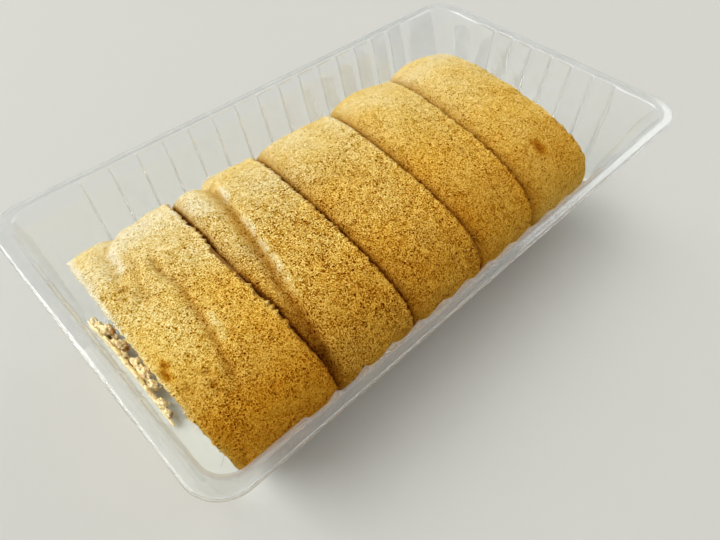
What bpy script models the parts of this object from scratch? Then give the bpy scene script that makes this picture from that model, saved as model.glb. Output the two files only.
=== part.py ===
"""Cream roll cake, cut into five slices, in its clear fluted tray.

Frame: origin under the middle of the tray, on the surface it stands on. +X runs along the tray,
from the end that slice 1 faces to the end that slice 5 faces, +Y to the open side of the tray
(the roll lies against the -Y wall) and +Z up. The sizes below are in millimetres.
"""
import math
import random

import bmesh
import bpy

MM = 0.001

# Tray: one sheet of clear plastic, formed with a flat flange and fluted walls.
TRAY_LENGTH = 200.0          # over the flange
TRAY_WIDTH = 113.0
TRAY_HEIGHT = 42.0
SHEET = 0.5                  # wall thickness
FLANGE_END = 4.7             # width of the flange at the two end walls
FLANGE_SIDE = 2.9            # and along the two long walls
FLANGE_LIP = 1.2             # how far its outer edge turns down
FLANGE_CORNER = 10.0         # plan radius of the flange's corners
MOUTH_CORNER = 8.0           # plan radius of the walls at the mouth
BASE_CORNER = 5.0            # and at the floor
SIDE_DRAFT = 0.31            # inward slope of the two long walls
END_DRAFT = 0.05             # and of the two end walls
BASE_ROUND = 2.4             # round between wall and floor
FLUTE_PITCH_SIDE = 9.6
FLUTES_SIDE = 15
FLUTE_PITCH_END = 9.2
FLUTES_END = 7
FLUTE_DEPTH = 1.0
# One flute in plan: share of the pitch along the wall, share of the depth outwards.
FLUTE_FORM = ((0.0, 0.0), (0.14, 0.78), (0.5, 1.0), (0.86, 0.78))
CORNER_STEPS = 6

# Roll: a squat loaf section, flat where it lies on the floor.
ROLL_Y = -5.1                # middle of the roll, across the tray
ROLL_HALF_WIDTH = 39.6
WIDEST_Z = 26.0              # height of its widest line
CROWN_Z = 46.0
SOLE_Z = 1.0                 # underside, just clear of the tray's floor
SOLE_SINK = 2.4              # how much of the round is pressed flat against the floor
CROWN_SQUARENESS = 2.7       # exponent of the section above its widest line
SOLE_SQUARENESS = 2.5        # and below it
SECTION_POINTS = 44

# Cut faces, from the -X end: place on X at the roll's middle, lean (share of the height by
# which the top tips towards -X) and skew (share of the width by which the +Y side sits back).
CUTS = (
    (-87.2, 0.19, 0.02),
    (-55.4, 0.19, 0.03),
    (-23.8, 0.28, 0.07),
    (8.1, 0.31, 0.11),
    (37.1, 0.29, 0.16),
    (68.0, 0.31, 0.12),
)
SLICE_GAP = 0.5              # open crack between two slices
DOME = (0.6, 0.9, 1.0, 2.8, 3.2)      # how far each slice swells at its upper +Y shoulder
DOME_SPREAD = 0.8
TUCK = 1.5                   # how far a slice's -X edge sits below the slice before it
TUCK_REACH = 0.10            # share of the slice over which it comes back up
EDGE_ROUND = 0.7             # rounding of the cut edges
GROOVE_DEPTH = 2.2           # soft furrow across slice 2
GROOVE_WIDTH = 2.8
WRINKLE_DEPTH = 0.7          # shallow wrinkle across slice 1
WRINKLE_WIDTH = 3.2

# Filling: a swirl of cream that runs through every slice.
CREAM_HALF = 2.0             # half its thickness
CREAM_CORE_HALF = 2.5        # and at the middle of the swirl
SWIRL_TURNS = 1.55
SWIRL_START = 0.62           # turn at which the swirl starts, from +Y
SWIRL_IN = 0.18              # share of the section's radius where it starts
SWIRL_OUT = 0.70             # and where it ends
SWIRL_STEPS = 36
FILL_GAP = 0.3               # between cream and sponge
CREAM_SINK = 0.3             # how far the cream stays back from a cut face

# Torn strip of sponge on the floor, between slice 1 and the end wall.
TORN_FROM_Y = -12.0
TORN_TO_Y = 34.5
TORN_X = -88.4
TORN_HALF_WIDTH = 1.9
TORN_HEIGHT = 5.8
TORN_LEAN = 0.22             # it leans back against the wall
TORN_STEPS = 16
TORN_SIDES = 8
SEED = 5


def reset_scene():
    for item in list(bpy.data.objects):
        bpy.data.objects.remove(item, do_unlink=True)


def make_collection(name):
    holder = bpy.data.collections.new(name)
    bpy.context.scene.collection.children.link(holder)
    return holder


def make_material(name, color, roughness, alpha=1.0):
    material = bpy.data.materials.new(name)
    material.use_nodes = True
    shader = material.node_tree.nodes["Principled BSDF"]
    shader.inputs["Base Color"].default_value = (*color, 1.0)
    shader.inputs["Roughness"].default_value = roughness
    shader.inputs["Metallic"].default_value = 0.0
    shader.inputs["Alpha"].default_value = alpha
    return material


def add_object(name, form, material, holder, smooth_angle=35.0):
    bmesh.ops.scale(form, vec=(MM, MM, MM), verts=form.verts)
    bmesh.ops.recalc_face_normals(form, faces=form.faces)
    mesh = bpy.data.meshes.new(name)
    form.to_mesh(mesh)
    form.free()
    mesh.shade_smooth()
    mesh.set_sharp_from_angle(angle=math.radians(smooth_angle))
    mesh.materials.append(material)
    item = bpy.data.objects.new(name, mesh)
    holder.objects.link(item)
    return item


def first_ring(form, places):
    """A capped ring of vertices, moved to the given places."""
    ring = bmesh.ops.create_circle(form, cap_ends=True, segments=len(places), radius=1.0)["verts"]
    for vert, place in zip(ring, places):
        vert.co = place
    return ring


def ring_edges(form, ring):
    return [form.edges.get((vert, ring[i - 1])) for i, vert in enumerate(ring)]


def next_ring(form, ring, places):
    """Extrude the ring's edges and move the new ring to the given places."""
    made = bmesh.ops.extrude_edge_only(form, edges=ring_edges(form, ring))["geom"]
    fresh = {item for item in made if isinstance(item, bmesh.types.BMVert)}
    new_ring = []
    for vert, place in zip(ring, places):
        twin = next(e.other_vert(vert) for e in vert.link_edges if e.other_vert(vert) in fresh)
        twin.co = place
        new_ring.append(twin)
    return new_ring


def loft(rings):
    """A closed body through rings of equal length."""
    form = bmesh.new()
    ring = first_ring(form, rings[0])
    for places in rings[1:]:
        ring = next_ring(form, ring, places)
    bmesh.ops.contextual_create(form, geom=ring_edges(form, ring))
    return form


def side_line(pitch, count):
    """Places along one wall and how far each stands outwards, as a share of the flute's depth."""
    start = -pitch * count / 2
    line = [(start + pitch * (i + share), lift) for i in range(count) for share, lift in FLUTE_FORM]
    return line + [(-start, 0.0)]


def tray_ring(half_x, half_y, corner, flute, z):
    """The tray's outline at one height: four walls, fluted by `flute`, and round corners."""
    long_side = side_line(FLUTE_PITCH_SIDE, FLUTES_SIDE)
    short_side = side_line(FLUTE_PITCH_END, FLUTES_END)
    ring = []
    for quarter in range(4):
        along, out = (half_x, half_y) if quarter % 2 == 0 else (half_y, half_x)
        turn = math.pi / 2 * quarter
        line = (long_side, short_side)[quarter % 2]
        # Near the floor the flutes draw together to clear the round corners.
        squeeze = min(1.0, (along - corner) / line[-1][0])
        wall = [(t * squeeze, -out - lift * flute) for t, lift in line]
        bend = [math.radians(-90 + 90 * i / CORNER_STEPS) for i in range(CORNER_STEPS + 1)]
        wall += [(along - corner + corner * math.cos(a), -out + corner + corner * math.sin(a))
                 for a in bend]
        ring += [(p * math.cos(turn) - q * math.sin(turn), p * math.sin(turn) + q * math.cos(turn), z)
                 for p, q in wall]
    return ring


def build_tray(holder):
    mouth_x = TRAY_LENGTH / 2 - FLANGE_END
    mouth_y = TRAY_WIDTH / 2 - FLANGE_SIDE - FLUTE_DEPTH
    wall_top = TRAY_HEIGHT - FLANGE_LIP - 1.2
    wall_foot = 2 * BASE_ROUND

    def wall_ring(z, inset=0.0, flute=FLUTE_DEPTH):
        drop = TRAY_HEIGHT - z
        share = z / TRAY_HEIGHT
        corner = BASE_CORNER + (MOUTH_CORNER - BASE_CORNER) * share
        return tray_ring(mouth_x - END_DRAFT * drop - inset, mouth_y - SIDE_DRAFT * drop - inset,
                         corner, flute, z)

    rings = [
        wall_ring(0.0, inset=8.0, flute=0.0),
        wall_ring(0.0, inset=BASE_ROUND, flute=0.3 * FLUTE_DEPTH),
        wall_ring(0.35 * BASE_ROUND, inset=0.3 * BASE_ROUND, flute=0.7 * FLUTE_DEPTH),
        wall_ring(wall_foot),
        wall_ring(wall_top),
        tray_ring(mouth_x + 0.3, mouth_y + 0.3, MOUTH_CORNER, 0.9 * FLUTE_DEPTH, TRAY_HEIGHT - 1.3),
        tray_ring(mouth_x + 1.1, mouth_y + 1.2, MOUTH_CORNER + 1.0, 0.4 * FLUTE_DEPTH,
                  TRAY_HEIGHT - SHEET),
        tray_ring(TRAY_LENGTH / 2 - SHEET - 0.3, TRAY_WIDTH / 2 - SHEET - 0.3, FLANGE_CORNER, 0.0,
                  TRAY_HEIGHT - SHEET),
        tray_ring(TRAY_LENGTH / 2 - SHEET, TRAY_WIDTH / 2 - SHEET, FLANGE_CORNER, 0.0,
                  TRAY_HEIGHT - FLANGE_LIP),
    ]
    form = bmesh.new()
    ring = first_ring(form, rings[0])
    for places in rings[1:]:
        ring = next_ring(form, ring, places)
    clear = make_material("clear_plastic", (0.93, 0.95, 0.95), 0.08, alpha=0.35)
    tray = add_object("tray", form, clear, holder, smooth_angle=60.0)
    # The modelled surface is the underside, whose faces look up and in: the sheet grows that way.
    sheet = tray.modifiers.new("Sheet", "SOLIDIFY")
    sheet.thickness = SHEET * MM
    sheet.offset = 1.0
    sheet.use_even_offset = False
    return tray


def section_point(angle):
    """The roll's outline at an angle from +Y, before it is made even."""
    c, s = math.cos(angle), math.sin(angle)
    power = 2.0 / (CROWN_SQUARENESS if s >= 0 else SOLE_SQUARENESS)
    rise = CROWN_Z - WIDEST_Z if s >= 0 else WIDEST_Z - SOLE_Z + SOLE_SINK
    y = ROLL_Y + ROLL_HALF_WIDTH * math.copysign(abs(c) ** power, c)
    z = WIDEST_Z + rise * math.copysign(abs(s) ** power, s)
    return y, max(z, SOLE_Z)


def section_outline(count):
    """The roll's outline as `count` points, equally far apart, anticlockwise from +Y."""
    fine = [section_point(2 * math.pi * i / 720) for i in range(721)]
    run = [0.0]
    for a, b in zip(fine, fine[1:]):
        run.append(run[-1] + math.dist(a, b))
    outline, k = [], 0
    for i in range(count):
        target = run[-1] * i / count
        while run[k + 1] < target:
            k += 1
        share = (target - run[k]) / (run[k + 1] - run[k])
        outline.append(tuple(p + (q - p) * share for p, q in zip(fine[k], fine[k + 1])))
    return outline


def cut_x(cut, y, z):
    """Where a cut face lies on X, at a point of the section."""
    place, lean, skew = cut
    return place - lean * (z - WIDEST_Z) + skew * (y - ROLL_Y)


def slice_x(index, u, y, z, inset):
    """A place in slice `index`, a share u of the way from its -X face to its +X face."""
    front = cut_x(CUTS[index], y, z) + inset
    back = cut_x(CUTS[index + 1], y, z) - inset
    return front + (back - front) * u


def bell(x):
    return math.exp(-x * x)


def top_side(z):
    """1 over the crown and the shoulders, 0 from the widest line down."""
    return min(1.0, max(0.0, (z - WIDEST_Z) / 8.0))


def furrow_place(start_u, end_u, y):
    """A furrow's place across a slice, drifting towards -X as it nears the -Y side."""
    share = min(1.0, max(0.0, (ROLL_Y + 12.0 - y) / 44.0))
    return start_u + (end_u - start_u) * share


def skin_lift(index, u, y, z):
    """How far the skin of a slice stands off the plain section."""
    shoulder = max(0.0, 0.5 + 0.5 * (y - ROLL_Y) / ROLL_HALF_WIDTH) * top_side(z)
    lift = DOME[index] * shoulder * math.sin(math.pi * u) ** DOME_SPREAD
    lift -= EDGE_ROUND * (bell(u / 0.02) + bell((1 - u) / 0.02)) * (z > SOLE_Z + 1)
    if index > 0:
        lift -= TUCK * top_side(z) * math.exp(-u / TUCK_REACH)
    width = (CUTS[index + 1][0] - CUTS[index][0])
    if index == 1:
        away = (u - furrow_place(0.34, 0.05, y)) * width
        lift -= GROOVE_DEPTH * top_side(z) * bell(away / GROOVE_WIDTH)
    if index == 0:
        away = (u - furrow_place(0.74, 0.30, y)) * width
        lift -= WRINKLE_DEPTH * top_side(z) * bell(away / WRINKLE_WIDTH) * (y < 6.0)
    return lift


def slice_rings(index, stations):
    rings = []
    for u in stations:
        ring = []
        for y, z in section_outline(SECTION_POINTS):
            lift = skin_lift(index, u, y, z)
            reach = math.dist((y, z), (ROLL_Y, WIDEST_Z))
            grow = 1 + lift / reach
            new_y = ROLL_Y + (y - ROLL_Y) * grow
            new_z = max(SOLE_Z, WIDEST_Z + (z - WIDEST_Z) * grow)
            ring.append((slice_x(index, u, new_y, new_z, SLICE_GAP / 2), new_y, new_z))
        rings.append(ring)
    return rings


def swirl_outline(inset):
    """The cream's outline in the section: a ribbon along a spiral, thinned by `inset`."""
    middle_z = (CROWN_Z + SOLE_Z) / 2

    def spine(t):
        share = SWIRL_IN + (SWIRL_OUT - SWIRL_IN) * t
        angle = 2 * math.pi * (SWIRL_START + SWIRL_TURNS * t)
        y, z = section_point(angle)
        return ROLL_Y + share * (y - ROLL_Y), middle_z + share * (z - middle_z)

    inner, outer = [], []
    step = 1e-3
    for i in range(SWIRL_STEPS + 1):
        # The ribbon's two ends draw back by the inset too.
        t = i / SWIRL_STEPS
        y, z = spine(t)
        dy, dz = (q - p for p, q in zip(spine(t - step), spine(t + step)))
        length = math.hypot(dy, dz)
        ty, tz = dy / length, dz / length
        half = CREAM_HALF + (CREAM_CORE_HALF - CREAM_HALF) * max(0.0, 1 - t / 0.22)
        if i in (0, SWIRL_STEPS):
            half *= 0.6
            pull = inset if i == 0 else -inset
            y, z = y + ty * pull, z + tz * pull
        half -= inset
        outer.append((y + tz * half, z - ty * half))
        inner.append((y - tz * half, z + ty * half))
    return outer + inner[::-1]


def swirl_body(index, inset, reach):
    """The swirl as a body from one cut face to the other, `reach` beyond (or short of) both."""
    outline = swirl_outline(inset)
    rings = [[(slice_x(index, end, y, z, SLICE_GAP / 2) + side * reach, y, z) for y, z in outline]
             for end, side in ((0.0, -1.0), (1.0, 1.0))]
    return loft(rings)


def slice_stations(index):
    if index == 1:
        return [0.0, 0.02, 0.07, 0.13, 0.19, 0.25, 0.31, 0.37, 0.44, 0.56, 0.72, 0.9, 0.98, 1.0]
    if index == 0:
        return [0.0, 0.02, 0.12, 0.3, 0.44, 0.56, 0.68, 0.8, 0.92, 0.98, 1.0]
    return [0.0, 0.02, 0.08, 0.2, 0.38, 0.62, 0.84, 0.97, 1.0]


def build_slice(index, sponge, cream, parts, cutters):
    name = f"slice_{index + 1}"
    body = add_object(f"{name}_sponge", loft(slice_rings(index, slice_stations(index))),
                      sponge, parts)
    channel = add_object(f"{name}_channel", swirl_body(index, 0.0, 3.0), cream, cutters)
    channel.hide_render = True
    channel.display_type = "WIRE"
    cut = body.modifiers.new("Swirl", "BOOLEAN")
    cut.operation = "DIFFERENCE"
    cut.object = channel
    add_object(f"{name}_cream", swirl_body(index, FILL_GAP, -CREAM_SINK), cream, parts)


def build_torn_strip(material, holder):
    """A lumpy strip that tapers to both ends, flat on the tray's floor."""
    dice = random.Random(SEED)
    rings = []
    for i in range(TORN_STEPS + 1):
        t = i / TORN_STEPS
        y = TORN_FROM_Y + (TORN_TO_Y - TORN_FROM_Y) * t
        size = min(1.0, 0.25 + 3.0 * t, 0.3 + 4.0 * (1 - t)) * dice.uniform(0.72, 1.12)
        shift = dice.uniform(-0.1, 0.7)
        ring = []
        for k in range(TORN_SIDES):
            angle = 2 * math.pi * k / TORN_SIDES
            knob = dice.uniform(0.85, 1.15)
            z = max(SOLE_Z, SOLE_Z + TORN_HEIGHT * size * knob * 0.5 * (1 + math.sin(angle)))
            x = TORN_X + shift + TORN_HALF_WIDTH * size * knob * math.cos(angle)
            ring.append((x - TORN_LEAN * (z - SOLE_Z), y, z))
        rings.append(ring)
    add_object("torn_strip", loft(rings), material, holder)


def main():
    reset_scene()
    parts = make_collection("cream_roll_cake")
    cutters = make_collection("cutters")
    sponge = make_material("sponge", (0.55, 0.36, 0.11), 0.95)
    cream = make_material("whipped_cream", (0.88, 0.82, 0.70), 0.6)
    build_tray(parts)
    for index in range(len(CUTS) - 1):
        build_slice(index, sponge, cream, parts, cutters)
    build_torn_strip(sponge, parts)


main()
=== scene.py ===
"""Cream roll cake in five slices, leaning on one another in a clear fluted tray.

Laid out as an add-on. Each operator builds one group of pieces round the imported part, in its frame:
+X along the tray, +Y to the side where the roll leaves room, +Z up. Sizes below are in millimetres.
"""
import math
import random

import bmesh
import bpy
import numpy as np
from bpy.props import FloatProperty, FloatVectorProperty, PointerProperty
from mathutils import Matrix, Vector, noise


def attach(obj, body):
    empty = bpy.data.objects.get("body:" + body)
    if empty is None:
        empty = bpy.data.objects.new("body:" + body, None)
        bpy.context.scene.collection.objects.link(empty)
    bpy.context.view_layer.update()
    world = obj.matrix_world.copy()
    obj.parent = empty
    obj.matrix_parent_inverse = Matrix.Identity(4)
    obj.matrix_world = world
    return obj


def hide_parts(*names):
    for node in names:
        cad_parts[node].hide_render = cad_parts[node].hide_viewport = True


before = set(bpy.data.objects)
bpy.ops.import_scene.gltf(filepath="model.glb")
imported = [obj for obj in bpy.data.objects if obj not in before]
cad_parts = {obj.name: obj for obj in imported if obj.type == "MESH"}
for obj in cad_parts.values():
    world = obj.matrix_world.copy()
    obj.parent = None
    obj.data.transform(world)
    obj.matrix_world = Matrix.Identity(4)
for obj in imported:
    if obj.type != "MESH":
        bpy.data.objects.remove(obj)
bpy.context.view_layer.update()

bl_info = {
    "name": "Cream roll cake",
    "version": (1, 0, 0),
    "blender": (4, 5, 0),
    "location": "View3D > Sidebar > Roll cake",
    "description": "Builds a sliced cream roll cake in a clear fluted tray",
    "category": "Object",
}

MM = 0.001
BODY = "root"
SEED = 11

# The roll: the same section, cut faces and swells as the solids.
ROLL_Y = -5.1
ROLL_HALF_WIDTH = 39.6
WIDEST_Z = 26.0
CROWN_Z = 46.0
SOLE_Z = 1.0
SOLE_SINK = 2.4
CROWN_SQUARENESS = 2.7
SOLE_SQUARENESS = 2.5
CUTS = (
    (-87.2, 0.19, 0.02),
    (-55.4, 0.19, 0.03),
    (-23.8, 0.28, 0.07),
    (8.1, 0.31, 0.11),
    (37.1, 0.29, 0.16),
    (68.0, 0.31, 0.12),
)
SLICES = len(CUTS) - 1
SLICE_GAP = 0.5
DOME = (0.6, 0.9, 1.0, 2.8, 3.2)
DOME_SPREAD = 0.8
TUCK = 1.5
TUCK_REACH = 0.10
EDGE_ROUND = 0.7
# How far the knife strayed along X in the second cut, by place across the roll.
STRAY_CUT = 1
STRAY = ((-44.0, 0.7), (-41.9, 0.5), (-38.0, 0.2), (-36.0, 0.0), (-31.0, 0.2), (-25.4, 0.4),
         (-21.0, 0.0), (-17.0, -0.3), (-13.6, -0.6), (-7.0, -1.0), (-1.0, -0.8), (6.7, 0.2),
         (13.5, -0.2), (22.7, 0.2))
# Highest that the skin swells.
TOP_Z = 47.55

# The swirl of cream.
CREAM_HALF = 2.0
CREAM_CORE_HALF = 2.5
SWIRL_TURNS = 1.55
SWIRL_START = 0.62
SWIRL_IN = 0.18
SWIRL_OUT = 0.70
SWIRL_STEPS = 110
CREAM_PROUD = 0.25           # how far the cream stands out of a cut face

# Fineness of the slices' skin: points along its top, its side, and the step along the roll.
TOP_POINTS = 224
SIDE_POINTS = 76
SKIN_STEP = 0.62
EDGE_STATIONS = (0.0, 0.22, 0.55, 1.0, 1.6, 2.3)
CUT_ROUNDS = 60              # rounds of smoothing for the grid of a cut face

# Creases in the skin, and the line that each follows. After the line come its depth, its reach to -X
# and to +X, how much painted shade darkens it inside, how pale the rubbed streak beside it is, how far
# off that lies, and the shares of the line between which it runs.
GROOVE = ((-43.9, 34.4, 28.0), (-44.0, 32.0, 37.0), (-44.7, 23.0, 42.7), (-46.6, 11.6, 45.2),
          (-48.4, 2.5, 45.9), (-49.8, -6.0, 46.0), (-51.3, -14.5, 45.8), (-53.5, -23.0, 45.0),
          (-54.6, -31.0, 43.3), (-55.3, -37.0, 40.6), (-55.7, -42.5, 36.0), (-55.3, -44.6, 28.0),
          (-54.2, -44.5, 18.0))
WRINKLE = ((-72.6, 9.5, 45.4), (-73.2, 5.0, 45.8), (-73.2, 1.0, 46.0), (-72.2, -3.0, 46.0),
           (-72.6, -7.0, 46.0), (-73.7, -13.0, 45.8), (-74.2, -18.0, 45.6), (-75.2, -24.0, 45.0),
           (-76.7, -30.5, 43.5), (-77.6, -35.5, 41.8), (-78.4, -39.5, 39.0))
LIP_DENT = ((-72.5, 33.5, 30.0), (-75.0, 30.5, 37.5), (-77.5, 27.0, 41.0), (-80.2, 22.7, 42.8),
            (-80.9, 18.4, 44.1), (-81.3, 14.5, 44.9), (-82.2, 10.0, 45.5), (-83.6, 3.0, 46.0))
FOLD = ((-75.5, 17.0, 45.0), (-77.5, 9.0, 45.8), (-80.5, 0.0, 46.0), (-81.5, -7.0, 46.0))
SLUMP = ((-95.0, 27.0, 41.0), (-80.0, 28.0, 40.5), (-62.0, 29.5, 39.5))
CREASES = (
    (GROOVE, 2.9, 2.8, 1.4, 0.8, 0.78, 1.4, 0.15, 0.74),
    (WRINKLE, 1.4, 1.5, 1.0, 0.65, 0.62, 1.8, 0.32, 0.94),
    (LIP_DENT, 1.8, 2.0, 2.4, 0.15, 0.55, 1.2, 0.3, 0.9),
    (FOLD, 0.8, 1.9, 1.5, 0.25, 0.0, 0.0, 0.0, 1.0),
    (SLUMP, 1.1, 8.0, 8.0, 0.0, 0.0, 0.0, 0.0, 1.0),
)
# Pits in the skin: place, radius and depth.
PITS = (
    ((-83.8, 3.0, 46.0), 1.2, 0.8), ((-84.9, 0.0, 46.0), 0.9, 0.6), ((-73.1, 6.7, 45.7), 0.7, 0.8),
    ((-73.8, 3.9, 46.0), 0.9, 0.8), ((-73.6, 1.2, 46.0), 0.8, 0.6), ((-72.6, -1.4, 46.0), 0.8, 0.6),
    ((-70.2, -4.7, 46.0), 0.8, 0.5), ((-79.5, 8.2, 45.7), 0.8, 0.4), ((-82.6, -0.7, 46.0), 0.8, 0.4),
    ((-61.4, 9.7, 45.5), 0.7, 0.5), ((-60.4, 17.7, 44.3), 0.7, 0.5), ((-81.6, -29.6, 43.9), 0.8, 0.7),
    ((-82.1, -32.4, 43.0), 0.9, 0.7), ((-82.2, -34.3, 42.2), 0.8, 0.6), ((-80.5, -36.1, 41.3), 0.8, 0.5),
    ((-71.0, -39.8, 38.8), 0.8, 0.5), ((-71.1, -25.1, 44.8), 1.0, 0.5), ((-75.9, -32.0, 43.0), 0.6, 0.5),
    ((-87.3, -30.1, 43.7), 1.0, 0.5), ((-40.0, -22.0, 45.0), 0.9, 0.5),
    ((-8.0, -12.0, 46.0), 1.1, 0.5), ((21.0, -20.0, 45.5), 1.2, 0.5), ((52.0, -8.0, 46.0), 1.0, 0.4),
)
# Browned spots: place and half size along X, Y and Z.
SPOTS = (
    ((-87.9, -21.8, 45.0), (0.65, 1.25, 1.6)),
    ((-89.0, -24.4, 44.6), (0.8, 1.6, 2.0)),
    ((44.0, -33.0, 42.0), (1.6, 2.7, 2.7)),
)

# How much browning each slice has on the open, lit side and on the other, the rise being partly painted
# shade; how much more at its foot there, as painted shade; how much painted shade where it turns down;
# and how open its pores are.
TONES = ((0.0, 0.58, 0.4, 0.18, 0.83), (0.02, 0.48, 0.15, 0.24, 1.1), (0.02, 0.52, 0.2, 0.2, 1.05),
         (0.15, 0.54, 0.15, 0.28, 0.75), (0.06, 0.44, 0.1, 0.22, 0.55))

# The tray.
TRAY_LENGTH = 199.9
TRAY_WIDTH = 112.9
TRAY_HEIGHT = 42.0
FLANGE_END = 4.7
FLANGE_SIDE = 2.9
FLANGE_CORNER = 10.0
MOUTH_CORNER = 8.0
BASE_CORNER = 5.0
SIDE_DRAFT = 0.31
END_DRAFT = 0.05
BASE_ROUND = 2.4
FLUTE_PITCH_SIDE = 9.6
FLUTES_SIDE = 15
FLUTE_PITCH_END = 9.2
FLUTES_END = 7
FLUTE_DEPTH = 1.0
FLUTE_GROOVE = 0.62          # half width of the narrow groove between two flutes
FLUTE_POINTS = 14
CORNER_POINTS = 18

# The torn strip of sponge by the end wall: its course, and its height at each point of it.
TORN_LINE = ((-90.6, 37.2), (-90.0, 30.0), (-89.6, 24.0), (-89.5, 18.0), (-89.6, 12.0),
             (-89.5, 6.0), (-89.7, 0.0), (-89.9, -6.0), (-90.4, -12.0))
TORN_HEIGHTS = (3.2, 4.8, 5.8, 6.0, 5.2, 5.6, 4.4, 3.6, 0.9)
TORN_STEPS = 130
TORN_SIDES = 22
# Lumps on its inner side, where the slice tore away: place, size, length along it and browning, which
# also scales the painted shade on each lump.
TORN_LUMPS = (
    ((-89.5, 35.0, 4.0), 1.3, 1.5, 0.1), ((-89.1, 32.0, 4.3), 1.7, 1.2, 0.2),
    ((-88.2, 28.4, 4.4), 2.7, 0.9, 1.2), ((-87.8, 25.2, 3.2), 1.5, 1.0, 1.3),
    ((-89.0, 22.9, 4.9), 1.5, 1.0, 0.1), ((-87.9, 20.6, 4.3), 2.5, 0.9, 1.4),
    ((-89.1, 16.6, 4.3), 1.4, 1.4, 0.0), ((-87.9, 11.9, 4.0), 1.9, 1.3, 0.9),
    ((-88.1, 7.2, 4.1), 2.1, 1.5, 0.3), ((-88.2, 2.2, 3.7), 1.7, 1.3, 0.1),
    ((-89.2, -4.9, 3.8), 1.2, 1.9, 0.4), ((-89.7, -8.4, 3.2), 1.3, 1.3, 1.2),
)
# Loose crumbs on the tray's floor: how many, where along Y and along X, and how big.
CRUMBS = (
    (26, (-26.0, 33.0), (-90.0, -84.8), (0.22, 0.6)),
    (16, (-30.0, 30.0), (79.5, 89.0), (0.2, 0.5)),
)
CRUMB_FLOOR = 0.62

# The floor and the lights, in metres. The fill's power is a share of the window's.
FLOOR_RADIUS = 2.2
FLOOR_DROP = 0.0002
LIGHT_TARGET = (0.0, 0.0, 0.02)
WINDOW_PLACE = (-1.4, 1.4, 1.75)
WINDOW_SIZE = (2.4, 1.8)
FILL_PLACE = (0.75, -0.1, 0.55)
FILL_SIZE = (0.5, 0.5)
FILL_SHARE = 0.02

# The camera, solved from the four edges of the tray's rim, in metres and degrees.
CAMERA_PLACE = (-0.10447, -0.10006, 0.16078)
CAMERA_AZIMUTH = -45.308
CAMERA_PITCH = 50.227
CAMERA_ROLL = 1.454
CAMERA_LENS = 29.01
CAMERA_SENSOR = 36.0


def linear(code):
    """An sRGB hex colour as linear red, green and blue."""
    values = [int(code[i:i + 2], 16) / 255 for i in (1, 3, 5)]
    return tuple(v / 12.92 if v <= 0.04045 else ((v + 0.055) / 1.055) ** 2.4 for v in values)


def rgba(color):
    return (*color[:3], 1.0)


# ---------------------------------------------------------------- settings


class RollCakeSkin(bpy.types.PropertyGroup):
    pale: FloatVectorProperty(
        name="Pale skin", description="Skin before it browns",
        subtype="COLOR", size=3, min=0, max=1, default=linear("#ffebb6"))
    # The browning tint also lays the painted shade down the shaded side and at its foot.
    browning: FloatVectorProperty(
        name="Browning", description="What one measure of browning multiplies the pale skin by",
        subtype="COLOR", size=3, min=0, max=1, default=linear("#eebb4a"))
    pore: FloatVectorProperty(
        name="Pores", description="What one measure of depth in a pore multiplies the skin by",
        subtype="COLOR", size=3, min=0, max=1, default=linear("#c2972c"))
    # Tint of the painted shade in creases, cracks and pits, down the shaded side and where it turns down;
    # it also darkens the dark spots of the skin.
    painted_shade_and_spot_tint: FloatVectorProperty(
        name="Hollows", description="What one measure of depth in a crease multiplies the skin by",
        subtype="COLOR", size=3, min=0, max=1, default=linear("#c3a97c"))
    pore_size: FloatProperty(
        name="Pore spacing", description="Mean distance between the pores, in mm",
        default=0.55, min=0.3, max=3.0)


class RollCakeCrumb(bpy.types.PropertyGroup):
    crumb: FloatVectorProperty(
        name="Crumb", description="Inside of the sponge",
        subtype="COLOR", size=3, min=0, max=1, default=linear("#ffecb8"))
    hole: FloatVectorProperty(
        name="Crumb holes", description="Holes in the crumb",
        subtype="COLOR", size=3, min=0, max=1, default=linear("#cf9f4a"))
    cream: FloatVectorProperty(
        name="Cream", description="Whipped cream filling",
        subtype="COLOR", size=3, min=0, max=1, default=linear("#fbf3de"))


class RollCakeTray(bpy.types.PropertyGroup):
    sheet: FloatProperty(
        name="Sheet", description="Thickness of the tray's plastic",
        default=0.5 * MM, min=0.2 * MM, max=1.5 * MM, unit="LENGTH")
    tint: FloatVectorProperty(
        name="Tint", description="Tint of the clear plastic",
        subtype="COLOR", size=3, min=0, max=1, default=linear("#fbfdfd"))


class RollCakeStage(bpy.types.PropertyGroup):
    floor: FloatVectorProperty(
        name="Floor", description="Colour of the floor",
        subtype="COLOR", size=3, min=0, max=1, default=linear("#c8c8c3"))
    key: FloatProperty(
        name="Window light", description="Power of the large soft light, in watts",
        default=61.0, min=0.0, max=500.0)
    sky: FloatProperty(
        name="Room light", description="Strength of the light from all round",
        default=0.58, min=0.0, max=5.0)


# ---------------------------------------------------------------- form of the roll


def section_point(angle):
    """The roll's outline at an angle from +Y."""
    c, s = math.cos(angle), math.sin(angle)
    power = 2.0 / (CROWN_SQUARENESS if s >= 0 else SOLE_SQUARENESS)
    rise = CROWN_Z - WIDEST_Z if s >= 0 else WIDEST_Z - SOLE_Z + SOLE_SINK
    y = ROLL_Y + ROLL_HALF_WIDTH * math.copysign(abs(c) ** power, c)
    z = WIDEST_Z + rise * math.copysign(abs(s) ** power, s)
    return y, max(z, SOLE_Z)


def section_outline(count, shift=0.0):
    """The outline as `count` points, equally far apart, anticlockwise, `shift` points after +Y."""
    fine = np.array([section_point(2 * math.pi * i / 2880) for i in range(2881)])
    run = np.concatenate(([0.0], np.cumsum(np.linalg.norm(np.diff(fine, axis=0), axis=1))))
    want = np.mod((np.arange(count) + shift) / count, 1.0) * run[-1]
    return np.column_stack([np.interp(want, run, fine[:, k]) for k in (0, 1)])


def cut_x(cut, y, z):
    place, lean, skew = cut
    return place - lean * (z - WIDEST_Z) + skew * (y - ROLL_Y)


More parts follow.
